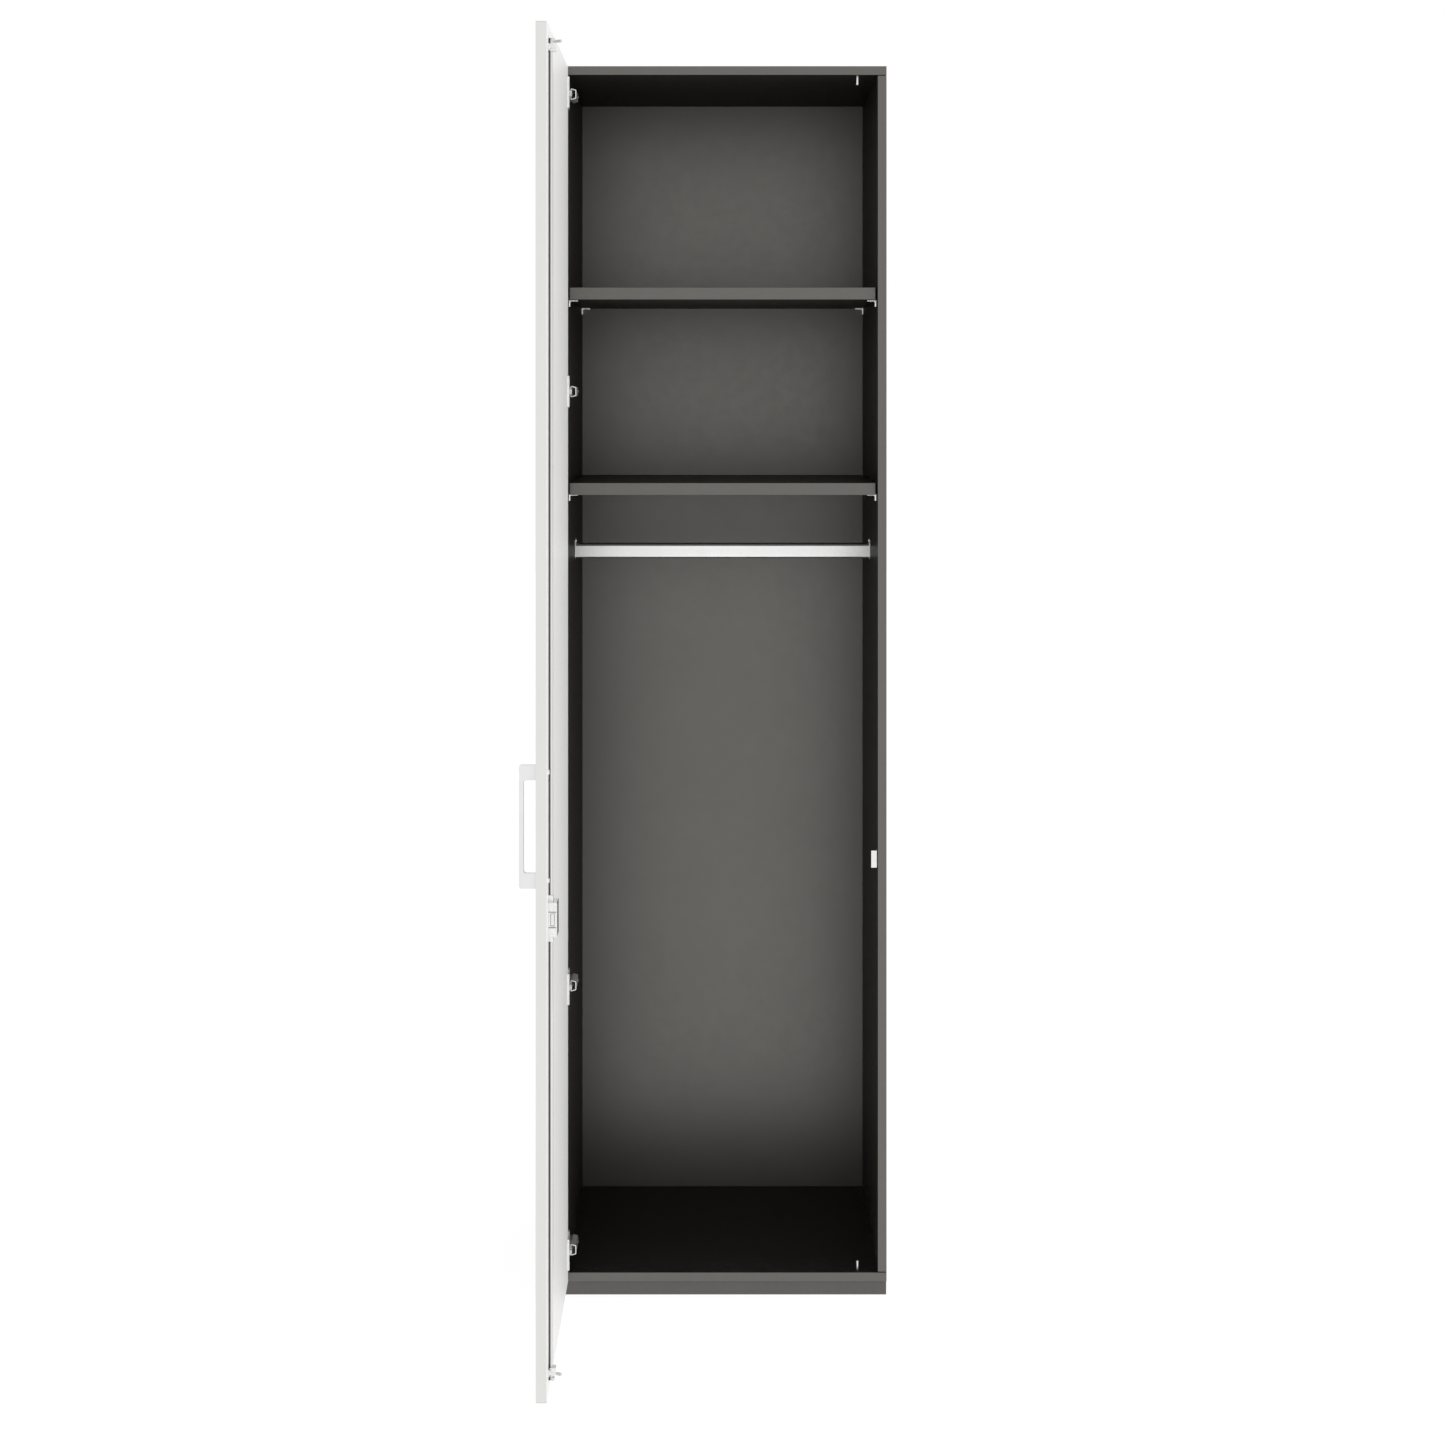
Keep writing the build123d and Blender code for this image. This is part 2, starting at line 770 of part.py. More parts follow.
def door_panel():
    """The closed door inside its edge bands, with every bore and hole."""
    panel = block(
        (door_left + edge_band, door_right - edge_band),
        (door_outer, door_inner),
        (door_low + edge_band, door_high - edge_band),
    )
    for height in hinge_heights:
        depth = (door_inner - cup_depth - cup_play, door_inner)
        panel -= bar_along_y(cup_x, height, depth, cup_radius + cup_play)
        panel = drilled(panel, cup_seats(height), door_screw_way)
    for top in (True, False):
        panel = drilled(panel, guide_seats(top), door_screw_way)
    panel = drilled(panel, lock_seats, door_screw_way)
    for side in (-1, 1):
        z = handle_rise + side * handle_screw_z
        panel -= bar_along_y(handle_x, z, (door_outer, door_inner), handle_screw_radius + screw_play)
    panel -= bar_along_y(plug_x, lock_rise, (door_outer, door_inner), cylinder_radius + cylinder_play)
    recess = (door_outer, door_outer + rosette_thickness)
    return panel - bar_along_y(plug_x, lock_rise, recess, rosette_radius + cylinder_play)


def door_bands():
    """Edge bands on all four edges of the closed door."""
    y = (door_outer, door_inner)
    bands = []
    upright = (door_low + edge_band, door_high - edge_band)
    for x in ((door_left, door_left + edge_band), (door_right - edge_band, door_right)):
        bands.append(eased(block(x, y, upright), Axis.X, x[1] == door_right))
    for z in ((door_low, door_low + edge_band), (door_high - edge_band, door_high)):
        bands.append(eased(block((door_left, door_right), y, z), Axis.Z, z[1] == door_high))
    return bands


def handle():
    """A bow handle on the outer face of the closed door."""
    from_door = (Align.MIN, Align.CENTER)
    outline = Rectangle(handle_reach, handle_length, align=from_door)
    gap = Rectangle(handle_reach - handle_bar, handle_length - 2 * handle_leg, align=from_door)
    face = outline - gap
    corners = face.vertices().filter_by(lambda corner: corner.X > handle_bar)
    face = fillet(corners, handle_round)
    bow = extrude(face, amount=handle_width / 2, both=True)
    long_edges = bow.faces().filter_by(Axis.Z).edges().filter_by(lambda edge: edge.center().X > handle_ease)
    bow = fillet(long_edges, handle_ease)
    stand = Plane((handle_x, door_outer, handle_rise), x_dir=(0, -1, 0), z_dir=(1, 0, 0))
    bow = stand * bow
    for side in (-1, 1):
        z = handle_rise + side * handle_screw_z
        hole = (door_outer - handle_screw_grip - screw_end_play, door_outer)
        bow -= bar_along_y(handle_x, z, hole, handle_screw_radius + screw_play)
    return bow


def handle_screws():
    """Two machine screws from the inner face of the door into the handle's legs."""
    made = []
    for side in (-1, 1):
        z = handle_rise + side * handle_screw_z
        shank = bar_along_y(handle_x, z, (door_outer - handle_screw_grip, door_inner), handle_screw_radius)
        head_y = (door_inner, door_inner + handle_screw_head_height)
        head = bar_along_y(handle_x, z, head_y, handle_screw_head_radius)
        recess = Box(cross_length, 2 * cross_depth, cross_width)
        recess += Box(cross_width, 2 * cross_depth, cross_length)
        made.append(head - Pos(handle_x, head_y[1], z) * recess + shank)
    return made


# Lock


def strike():
    """An angle of bent sheet on the right side, whose front limb the bolt goes behind."""
    z = (lock_rise - strike_height / 2, lock_rise + strike_height / 2)
    wall = block((inner_half - strike_sheet, inner_half), (front, front + strike_depth), z)
    limb = block((inner_half - strike_reach, inner_half), (front, front + strike_sheet), z)
    inner_corner = (inner_half - strike_sheet, front + strike_sheet, lock_rise)
    angle = bent(wall + limb, Axis.Z, inner_corner, strike_bend - strike_sheet)
    angle = bent(angle, Axis.Z, (inner_half, front, lock_rise), strike_bend)
    return drilled(angle, strike_seats, right_screw_way)


def bolt_slot():
    """The way through the case's near wall that the bolt slides in."""
    x = (lock_near - 2 * lock_sheet, lock_near + lock_sheet)
    y = (bolt_nose_y - bolt_slot_play, bolt_top_y + bolt_slot_play)
    return block(x, y, (bolt_low - bolt_slot_play, bolt_high + bolt_slot_play))


def boss(z):
    """A bearing for the spindle at one end of the lock case."""
    x = (rod_x - boss_width / 2, rod_x + boss_width / 2)
    bearing = block(x, (door_inner, door_inner + boss_depth), z)
    return fillet(bearing.faces().sort_by(Axis.Y)[-1].edges().filter_by(Axis.Z), boss_round)


def lock_case():
    """An open tray on the door with two slits in its near wall and bearings for the spindle."""
    rim = door_inner + lock_depth - lock_sheet
    outside = block((lock_far, lock_near), (door_inner, rim), (lock_low, lock_high))
    inside = block(
        (lock_far + lock_sheet, lock_near - lock_sheet),
        (door_inner + lock_sheet, rim),
        (lock_low + lock_sheet, lock_high - lock_sheet),
    )
    case = outside - inside - bolt_slot()
    for side in (-1, 1):
        seam = lock_rise + side * seam_rise
        seam_z = (seam - seam_width / 2, seam + seam_width / 2)
        case -= block((lock_near - lock_sheet, lock_near), (door_inner + lock_sheet, rim), seam_z)
    case += boss((lock_high, boss_high))
    case += boss((boss_low, lock_low))
    case -= post(rod_x, rod_y, (boss_low, boss_high), spindle_radius + rod_play)
    shaft_way = (door_inner, door_inner + lock_sheet)
    case -= bar_along_y(plug_x, lock_rise, shaft_way, spindle_radius + shaft_clearance)
    return drilled(case, lock_seats, door_screw_way)


def lock_cover():
    """The flat lid of the lock case."""
    y = (door_inner + lock_depth - lock_sheet, door_inner + lock_depth)
    lid = block((lock_far, lock_near), y, (lock_low, lock_high))
    outer = lid.faces().sort_by(Axis.Y)[-1]
    return chamfer(outer.edges(), lock_sheet / 2)


def spindle():
    """The upright shaft through the lock that joins the rods, with the crank that the bolt turns."""
    shaft = post(rod_x, rod_y, (rod_ends[0] - rod_grip, rod_ends[1] + rod_grip), spindle_radius)
    z = (bolt_low + gear_play, crank_high)
    web = block((-crank_web / 2, crank_web / 2), (0, crank_reach), z)
    crank = web + post(0, crank_reach, z, crank_end_radius)
    return shaft + Pos(rod_x, rod_y, 0) * Rot(0, 0, rod_swing / 2) * crank


def rod(top):
    """The rod from the lock to the hook at the top or the bottom, with a socket for the spindle."""
    hook_low, hook_high = hook_span_z(top)
    socket_depth = rod_grip + screw_end_play
    span = (rod_ends[1], hook_high) if top else (hook_low, rod_ends[0])
    socket = (rod_ends[1], rod_ends[1] + socket_depth) if top else (rod_ends[0] - socket_depth, rod_ends[0])
    return post(rod_x, rod_y, span, rod_radius) - post(rod_x, rod_y, socket, spindle_radius + rod_play)


def hook(top):
    """A flat hook on a rod end, turned clear of its lock pin."""
    low, high = hook_span_z(top)
    bore = rod_radius + rod_play
    face = ring_sector(bore, hook_hub_radius, hook_hub_start, hook_hub_span)
    face += ring_sector(bore, hook_outer, hook_web_start, hook_web_span)
    face += ring_sector(hook_inner, hook_outer, hook_start, hook_span)
    return Pos(rod_x, rod_y, low) * extrude(face, amount=high - low)


def rod_guide(top):
    """A saddle on the door that a rod turns in, with a foot for two screws."""
    z = guide_span_z(top)
    bearing = block(
        (rod_x - guide_width / 2, rod_x + guide_width / 2), (door_inner, door_inner + guide_depth), z
    )
    bearing = fillet(bearing.faces().sort_by(Axis.Y)[-1].edges().filter_by(Axis.Z), guide_round)
    foot = block(
        (rod_x - guide_foot_width / 2, rod_x + guide_foot_width / 2),
        (door_inner, door_inner + guide_foot_sheet),
        z,
    )
    bore = rod_radius + rod_play
    groove = post(rod_x, rod_y, z, bore) + block((rod_x - bore, rod_x + bore), (door_inner, rod_y), z)
    return drilled(bearing + foot - groove, guide_seats(top), door_screw_way)


def bolt():
    """The dead bolt: a nose behind the strike, a tail with a rack for the key, and a fork for the crank."""
    nose = block((fork_end - fork_grip, bolt_nose_end), (bolt_nose_y, bolt_top_y), (bolt_low, bolt_high))
    tail_end = plug_x + tooth_pitch * (rack_teeth[0] - tooth_share)
    tail = block((tail_end, fork_end), (bolt_back, bolt_face), (rack_low, rack_high))
    slot_half = crank_end_radius + fork_play
    fork_y = (bolt_top_y, bolt_top_y + fork_depth)
    fork = block((fork_x - slot_half - fork_wall, fork_end), fork_y, (bolt_low - fork_wall, crank_high))
    fork -= block((fork_x - slot_half, fork_x + slot_half), fork_y, (bolt_low, crank_high))
    whole = nose + tail + fork
    tooth = extrude(Plane.XZ * Rot(0, 0, 180) * rack_tooth(), amount=bolt_back - bolt_face)
    for index in rack_teeth:
        whole += Pos(plug_x + index * tooth_pitch, bolt_back, rack_low) * tooth
    return whole


def cylinder():
    """The barrel through the door that the key plug turns in."""
    barrel = bar_along_y(plug_x, lock_rise, (door_outer, door_inner), cylinder_radius)
    barrel -= bar_along_y(plug_x, lock_rise, (door_outer, door_inner - cylinder_end), plug_radius + plug_play)
    return barrel - bar_along_y(plug_x, lock_rise, (door_outer, door_inner), spindle_radius + plug_play)


def rosette():
    """The ring let into the outer face of the door round the barrel."""
    y = (door_outer, door_outer + rosette_thickness)
    ring = bar_along_y(plug_x, lock_rise, y, rosette_radius)
    return ring - bar_along_y(plug_x, lock_rise, y, cylinder_radius + cylinder_play)


def key_plug():
    """The plug with its keyway and the shaft that carries its pinion."""
    plug = bar_along_y(plug_x, lock_rise, (door_outer, door_inner - cylinder_end), plug_radius)
    keyway = block(
        (plug_x - keyway_width / 2, plug_x + keyway_width / 2),
        (door_outer, door_outer + keyway_depth),
        (lock_rise - keyway_height / 2, lock_rise + keyway_height / 2),
    )
    shaft = bar_along_y(plug_x, lock_rise, (door_inner - cylinder_end, bolt_back), spindle_radius)
    return plug - keyway + shaft


def plug_pinion():
    """The pinion on the end of the plug's shaft, which drives the bolt."""
    wheel = extrude(Plane.XZ * pinion(90), amount=bolt_back - bolt_face)
    return Pos(plug_x, bolt_back, lock_rise) * wheel


# Every node, as a list of its separate solids

nodes = {
    "left_side": [side_panel(-1)],
    "right_side": [side_panel(1)],
    "top_panel": [flat_panel((ceiling, cabinet_height))],
    "bottom_panel": [drilled(flat_panel((plinth_height, floor_top)), plinth_seats, plinth_screw_way)],
    "back_panel": [back_panel()],
    "carcass_edge_bands": carcass_bands(),
    "carcass_dowels": dowels(),
    "plinth_frame": [plinth_frame()],
    "plinth_screws": screws(plinth_seats, plinth_screw_way),
    "upper_shelf": [shelf(shelf_tops[0])],
    "lower_shelf": [shelf(shelf_tops[1])],
    "shelf_edge_bands": [shelf_band(top) for top in shelf_tops],
    "upper_shelf_supports": shelf_supports(shelf_tops[0]),
    "lower_shelf_supports": shelf_supports(shelf_tops[1]),
    "hanging_rail": [hanging_rail()],
    "left_rail_socket": [rail_socket(-1)],
    "right_rail_socket": [rail_socket(1)],
    "rail_socket_screws": [screw(socket_seat(side), (-side, 0, 0)) for side in (-1, 1)],
    "strike": [strike()],
    "strike_screws": screws(strike_seats, right_screw_way),
    "top_lock_pin": lock_pins()[:1],
    "bottom_lock_pin": lock_pins()[1:],
    "hinge_pins": [hinge_pin(height) for height in hinge_heights],
    "hinge_plate_screws": [
        made for height in hinge_heights for made in screws(hinge_plate_seats(height), left_screw_way)
    ],
    "hinge_arm_screws": [arm_screw(height) for height in hinge_heights],
    "door_panel": opened([door_panel()]),
    "door_edge_bands": opened(door_bands()),
    "handle": opened([handle()]),
    "handle_screws": opened(handle_screws()),
    "hinge_cup_screws": opened(
        [made for height in hinge_heights for made in screws(cup_seats(height), door_screw_way)]
    ),
    "lock_case": opened([lock_case()]),
    "lock_cover": opened([lock_cover()]),
    "lock_screws": opened(screws(lock_seats, door_screw_way)),
    "lock_cylinder": opened([cylinder()]),
    "lock_rosette": opened([rosette()]),
    "top_rod_guide": opened([rod_guide(True)]),
    "bottom_rod_guide": opened([rod_guide(False)]),
    "rod_guide_screws": opened(
        [made for top in (True, False) for made in screws(guide_seats(top), door_screw_way)]
    ),
    "upper_rod": opened([rod(True)]),
    "lower_rod": opened([rod(False)]),
    "rod_spindle": opened([spindle()]),
    "top_hook": opened([hook(True)]),
    "bottom_hook": opened([hook(False)]),
    "lock_bolt": opened([bolt()]),
    "key_plug": opened([key_plug()]),
    "plug_pinion": opened([plug_pinion()]),
}
for number, height in enumerate(hinge_heights, start=1):
    nodes[f"hinge_{number}_plate"] = [hinge_plate(height)]
    nodes[f"hinge_{number}_arm"] = [hinge_arm(height)]
    nodes[f"hinge_{number}_cup"] = opened([hinge_cup(height)])

os.makedirs("parts", exist_ok=True)
for name, shapes in nodes.items():
    solids = [solid for shape in shapes for solid in shape.solids()]
    export_step(solids[0] if len(solids) == 1 else Compound(solids), f"parts/{name}.step")
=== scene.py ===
from math import radians

import bpy
from bpy.props import FloatProperty, FloatVectorProperty, PointerProperty
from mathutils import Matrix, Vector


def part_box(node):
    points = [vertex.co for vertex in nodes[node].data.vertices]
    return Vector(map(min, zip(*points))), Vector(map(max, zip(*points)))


bl_info = {
    "name": "Locker cabinet",
    "version": (1, 0, 0),
    "blender": (4, 5, 0),
    "location": "View3D > Sidebar > Cabinet",
    "description": "Finishes a tall locker cabinet and sets it in a plain white studio",
    "category": "Object",
}

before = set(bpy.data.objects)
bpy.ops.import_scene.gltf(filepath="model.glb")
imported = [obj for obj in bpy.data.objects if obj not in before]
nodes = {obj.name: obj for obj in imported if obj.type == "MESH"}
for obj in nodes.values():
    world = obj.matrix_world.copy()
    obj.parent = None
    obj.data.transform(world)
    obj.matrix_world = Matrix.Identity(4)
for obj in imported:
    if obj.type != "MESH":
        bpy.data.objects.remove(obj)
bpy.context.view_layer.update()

# The picture is square, and the camera stands straight in front of the carcass
PICTURE_PIXELS = 1445
FOCAL_PIXELS = 2694
HORIZON_PIXELS = 397
SENSOR_WIDTH = 36.0

# Floor and lamps, in metres; a reach is a lamp's distance in front of the carcass
WHITE = (1.0, 1.0, 1.0, 1.0)
FLOOR_SIZE = 40.0
FLOOR_COLOUR = (0.25, 0.25, 0.25, 1.0)
FLOOR_GLOW = 0.86
FRONT_BOX_REACH = 6.0
FRONT_BOX_HEIGHT = 1.25
FRONT_BOX_SIZE = (2.4, 2.4)
SIDE_BOX_RIGHT = 2.6
SIDE_BOX_REACH = 0.7
SIDE_BOX_HEIGHT = 1.15
SIDE_BOX_SIZE = (0.9, 2.6)
UPRIGHT_TURN = radians(90)

# The grey facing holds metal pearl, which is dark edge-on
PEARL_SHARE = 0.95
PEARL_EDGE_TINT = 0.12

# The rods carry painted shade over a share of their thickness, from the side towards the door, in place of
# the shadow in the gap between rod and door
ROD_PAINTED_SHADE_SHARE = 0.44
ROD_PAINTED_SHADE_BLEND = 0.0004

# A noise pattern keeps mostly to the middle half of its range
PATTERN_LOW = 0.25
PATTERN_HIGH = 0.75

# Scratches in metal: grain per metre, depth in metres, and fineness on the x, y and z axes,
# where a low number makes them long on that axis
SCRATCH_GRAIN = 1500.0
SCRATCH_DEPTH = 0.000004
LONG_ON_X = (0.3, 1.0, 1.0)
LONG_ON_Y = (1.0, 0.3, 1.0)
LONG_ON_Z = (1.0, 1.0, 0.4)
EVEN = (1.0, 1.0, 1.0)
HANDLE_BRUSHING = (1.0, 1.0, 0.03)
ROUND_RAIL = (1.0, 0.02, 0.02)
ALONG_ROD = (1.0, 1.0, 0.02)

# Turn between the scratches and the way that they spread reflections, in whole turns
QUARTER_TURN = 0.25

# Pieces that share a finish
GREY_BOARDS = (
    "left_side",
    "right_side",
    "top_panel",
    "bottom_panel",
    "back_panel",
    "upper_shelf",
    "lower_shelf",
)
GREY_BANDS = ("carcass_edge_bands", "shelf_edge_bands")
DOOR_BANDS = ("door_edge_bands",)
SUPPORTS = ("upper_shelf_supports", "lower_shelf_supports")
SOCKETS = ("left_rail_socket", "right_rail_socket")
HINGES = range(1, 5)
HINGE_PIECES = ("plate", "arm", "cup")
RODS = ("upper_rod", "lower_rod")
HOOKS = ("rod_spindle", "top_hook", "bottom_hook")
LOCK_HOUSING = ("lock_case", "lock_cover", "top_rod_guide", "bottom_rod_guide")
LOCK_STEEL = (
    "strike",
    "top_lock_pin",
    "bottom_lock_pin",
    "lock_bolt",
    "lock_cylinder",
    "lock_rosette",
    "key_plug",
    "plug_pinion",
)
SCREWS = (
    "plinth_screws",
    "rail_socket_screws",
    "strike_screws",
    "hinge_plate_screws",
    "handle_screws",
    "hinge_cup_screws",
    "lock_screws",
    "rod_guide_screws",
)


def colour(label, words, default):
    """A colour that a user can change."""
    return FloatVectorProperty(
        name=label, description=words, subtype="COLOR", size=3, min=0.0, max=1.0, default=default
    )


class CabinetFinish(bpy.types.PropertyGroup):
    """Colours of the cabinet's surfaces."""

    grey_board: colour("Grey board", "Melamine face of the carcass boards", (0.150, 0.145, 0.137))
    white_board: colour("White board", "Melamine face of the door", (0.765, 0.765, 0.750))
    white_band: colour("White band", "Edge bands of the door", (0.725, 0.725, 0.710))
    nickel: colour("Nickel", "Hinges, sockets, shelf supports and screws", (0.920, 0.917, 0.905))
    rod_steel: colour("Rod steel", "Rods, spindle and hooks of the lock", (0.700, 0.695, 0.685))
    # Painted shade: a dark steel that stands in for the shadow on the rods' side towards the door, and for
    # the shade round the hinges' clamping screws
    painted_shade_steel: colour(
        "Dark steel",
        "Clamping screws of the hinges, side of the rods towards the door",
        (0.170, 0.155, 0.147),
    )
    lock_steel: colour("Lock steel", "Strike, lock pins, bolt and cylinder", (0.790, 0.788, 0.778))
    zinc: colour("Zinc", "Lock housing and rod guides", (0.770, 0.770, 0.762))
    chrome: colour("Chrome", "Hanging rail", (0.880, 0.880, 0.880))
    satin: colour("Satin aluminium", "Door handle", (0.775, 0.775, 0.775))
    powder_coat: colour("Powder coat", "Plinth frame", (0.132, 0.126, 0.120))
    beech: colour("Beech", "Dowels", (0.520, 0.360, 0.200))


class CabinetStudio(bpy.types.PropertyGroup):
    """Camera place and light levels."""

    camera_distance: FloatProperty(
        name="Camera distance",
        description="From the camera to the front of the carcass",
        default=4.926,
        min=1.0,
        unit="LENGTH",
    )
    camera_height: FloatProperty(
        name="Camera height",
        description="Height of the camera above the floor",
        default=1.645,
        min=0.0,
        unit="LENGTH",
    )
    front_power: FloatProperty(
        name="Front light",
        description="Power of the soft box in front",
        default=28.0,
        min=0.0,
        unit="POWER",
    )
    side_power: FloatProperty(
        name="Side light",
        description="Power of the soft box that faces the inside of the open door",
        default=39.5,
        min=0.0,
        unit="POWER",
    )
    fill: FloatProperty(
        name="Fill",
        description="Strength of the even light from all round",
        default=0.80,
        min=0.0,
    )


# Materials


class Surface:
    """A material with one principled shader, to which patterns on object coordinates are added."""

    def __init__(self, name, metallic=0.0, specular=0.5, edge_tint=1.0):
        self.material = bpy.data.materials.new(name)
        self.material.use_nodes = True
        self.tree = self.material.node_tree
        self.tree.nodes.clear()
        output = self.tree.nodes.new("ShaderNodeOutputMaterial")
        self.shader = self.tree.nodes.new("ShaderNodeBsdfPrincipled")
        self.shader.inputs["Metallic"].default_value = metallic
        self.shader.inputs["Specular IOR Level"].default_value = specular
        self.shader.inputs["Specular Tint"].default_value = (edge_tint, edge_tint, edge_tint, 1.0)
        self.tree.links.new(self.shader.outputs["BSDF"], output.inputs["Surface"])
        self.place = self.tree.nodes.new("ShaderNodeTexCoord")

    def noise(self, scale, fineness=EVEN, detail=3.0):
        """A noise pattern, whose grain per metre is the scale times the fineness on each axis."""
        mapping = self.tree.nodes.new("ShaderNodeMapping")
        mapping.inputs["Scale"].default_value = fineness
        pattern = self.tree.nodes.new("ShaderNodeTexNoise")
        pattern.inputs["Scale"].default_value = scale
        pattern.inputs["Detail"].default_value = detail
        self.tree.links.new(self.place.outputs["Object"], mapping.inputs["Vector"])
        self.tree.links.new(mapping.outputs["Vector"], pattern.inputs["Vector"])
        return pattern.outputs["Fac"]

    def cells(self, scale):
        """A pattern of small crystals, each with its own level."""
        pattern = self.tree.nodes.new("ShaderNodeTexVoronoi")
        pattern.inputs["Scale"].default_value = scale
        self.tree.links.new(self.place.outputs["Object"], pattern.inputs["Vector"])
        split = self.tree.nodes.new("ShaderNodeSeparateColor")
        self.tree.links.new(pattern.outputs["Color"], split.inputs["Color"])
        return split.outputs["Red"]

    def ramp(self, level, low, high):
        """Links a change from one colour to another to the base colour, and gives the two stops."""
        ramp = self.tree.nodes.new("ShaderNodeValToRGB")
        first, last = ramp.color_ramp.elements
        first.color = (*low, 1.0)
        last.color = (*high, 1.0)
        self.tree.links.new(level, ramp.inputs["Fac"])
        self.tree.links.new(ramp.outputs["Color"], self.shader.inputs["Base Color"])
        return first, last

    def tint(self, base, pattern, contrast):
        """Colour between a darker and a lighter tone of the base."""
        darker = [channel * (1.0 - contrast) for channel in base]
        lighter = [min(channel * (1.0 + contrast), 1.0) for channel in base]
        first, last = self.ramp(pattern, darker, lighter)
        first.position = PATTERN_LOW
        last.position = PATTERN_HIGH

    def painted_shade_side(self, base, shade, limit, blend):
        """Painted shade below a limit on the x axis and the base above it, with a soft change between."""
        split = self.tree.nodes.new("ShaderNodeSeparateXYZ")
        self.tree.links.new(self.place.outputs["Object"], split.inputs["Vector"])
        above = self.tree.nodes.new("ShaderNodeMapRange")
        above.inputs["From Min"].default_value = limit - blend / 2
        above.inputs["From Max"].default_value = limit + blend / 2
        self.tree.links.new(split.outputs["X"], above.inputs["Value"])
        self.ramp(above.outputs["Result"], shade, base)

    def gloss(self, pattern, low, high):
        """Roughness that goes from low to high over the middle half of a pattern."""
        mapped = self.tree.nodes.new("ShaderNodeMapRange")
        mapped.inputs["From Min"].default_value = PATTERN_LOW
        mapped.inputs["From Max"].default_value = PATTERN_HIGH
        mapped.inputs["To Min"].default_value = low
        mapped.inputs["To Max"].default_value = high
        self.tree.links.new(pattern, mapped.inputs["Value"])
        self.tree.links.new(mapped.outputs["Result"], self.shader.inputs["Roughness"])

    def spread_along(self, axis, amount):
        """Scratches round an axis, which spread reflections along it."""
        scratches = self.tree.nodes.new("ShaderNodeTangent")
        scratches.direction_type = "RADIAL"
        scratches.axis = axis
        self.tree.links.new(scratches.outputs["Tangent"], self.shader.inputs["Tangent"])
        self.shader.inputs["Anisotropic"].default_value = amount
        self.shader.inputs["Anisotropic Rotation"].default_value = QUARTER_TURN

    def relief(self, pattern, height):
        """Bumps of a height in metres."""
        bump = self.tree.nodes.new("ShaderNodeBump")
        bump.inputs["Strength"].default_value = 1.0
        bump.inputs["Distance"].default_value = height
        self.tree.links.new(pattern, bump.inputs["Height"])
        self.tree.links.new(bump.outputs["Normal"], self.shader.inputs["Normal"])


def pearl_melamine(name, base):
    """Grey board whose facing holds metal pearl, so that it mirrors softly and is dark edge-on."""
    surface = Surface(name, metallic=PEARL_SHARE, specular=0.1, edge_tint=PEARL_EDGE_TINT)
    surface.tint(base, surface.noise(scale=7.0, detail=5.0), contrast=0.02)
    surface.gloss(surface.noise(scale=60.0), low=0.34, high=0.38)
    surface.relief(surface.noise(scale=1100.0, detail=2.0), height=0.000006)
    return surface.material


def plain_melamine(name, base):
    """White board with a fine pearl texture."""
    surface = Surface(name, specular=0.25)
    surface.tint(base, surface.noise(scale=7.0, detail=5.0), contrast=0.01)
    surface.gloss(surface.noise(scale=60.0), low=0.42, high=0.5)
    surface.relief(surface.noise(scale=1100.0, detail=2.0), height=0.00002)
    return surface.material


def edge_band(name, base, metallic=0.0, edge_tint=1.0):
    """Satin plastic strip with faint upright streaks."""
    surface = Surface(name, metallic=metallic, specular=0.25, edge_tint=edge_tint)
    surface.tint(base, surface.noise(scale=40.0, fineness=(1.0, 1.0, 0.1)), contrast=0.015)
    surface.gloss(surface.noise(scale=90.0), low=0.32, high=0.4)
    surface.relief(surface.noise(scale=900.0, detail=2.0), height=0.000006)
    return surface.material


def scratched_metal(name, fineness, low, high):
    """Bare metal with fine scratches, still without its colour."""
    surface = Surface(name, metallic=1.0)
    lines = surface.noise(SCRATCH_GRAIN, fineness, detail=4.0)
    surface.gloss(lines, low, high)
    surface.relief(lines, SCRATCH_DEPTH)
    return surface


def brushed_metal(name, base, fineness, low, high):
    """Metal with fine scratches and a faint mottle."""
    surface = scratched_metal(name, fineness, low, high)
    surface.tint(base, surface.noise(scale=30.0), contrast=0.03)
    return surface.material


def polished_tube(name, base):
    """Chrome with fine scratches round the tube, which spread reflections along it."""
    surface = scratched_metal(name, ROUND_RAIL, low=0.2, high=0.26)
    surface.tint(base, surface.noise(scale=30.0), contrast=0.03)
    surface.spread_along("X", amount=0.95)
    return surface.material


def lock_rod(name, base, shade, limit):
    """Drawn steel with scratches along the rod, with painted shade on the side towards the door in place of
    the shadow between rod and door.
    """
    surface = scratched_metal(name, ALONG_ROD, low=0.05, high=0.1)
    surface.painted_shade_side(base, shade, limit, ROD_PAINTED_SHADE_BLEND)
    return surface.material


def zinc_plate(name, base):
    """Plated sheet with the faint crystals of zinc."""
    surface = Surface(name, metallic=1.0)
    crystals = surface.cells(scale=450.0)
    surface.tint(base, crystals, contrast=0.05)
    surface.gloss(crystals, low=0.14, high=0.24)
    surface.relief(surface.noise(scale=1200.0), height=0.000005)
    return surface.material


def powder_coat(name, base):
    """Baked paint with a fine orange peel."""
    surface = Surface(name, metallic=0.8, specular=0.3, edge_tint=0.3)
    surface.tint(base, surface.noise(scale=15.0), contrast=0.03)
    surface.gloss(surface.noise(scale=200.0), low=0.42, high=0.55)
    surface.relief(surface.noise(scale=650.0, detail=1.0), height=0.00004)
    return surface.material


def beech(name, base):
    """Wood with upright grain."""
    surface = Surface(name, specular=0.3)
    grain = surface.noise(scale=300.0, fineness=(1.0, 1.0, 0.06), detail=6.0)
    surface.tint(base, grain, contrast=0.25)
    surface.gloss(grain, low=0.5, high=0.65)
    surface.relief(grain, height=0.00005)
    return surface.material


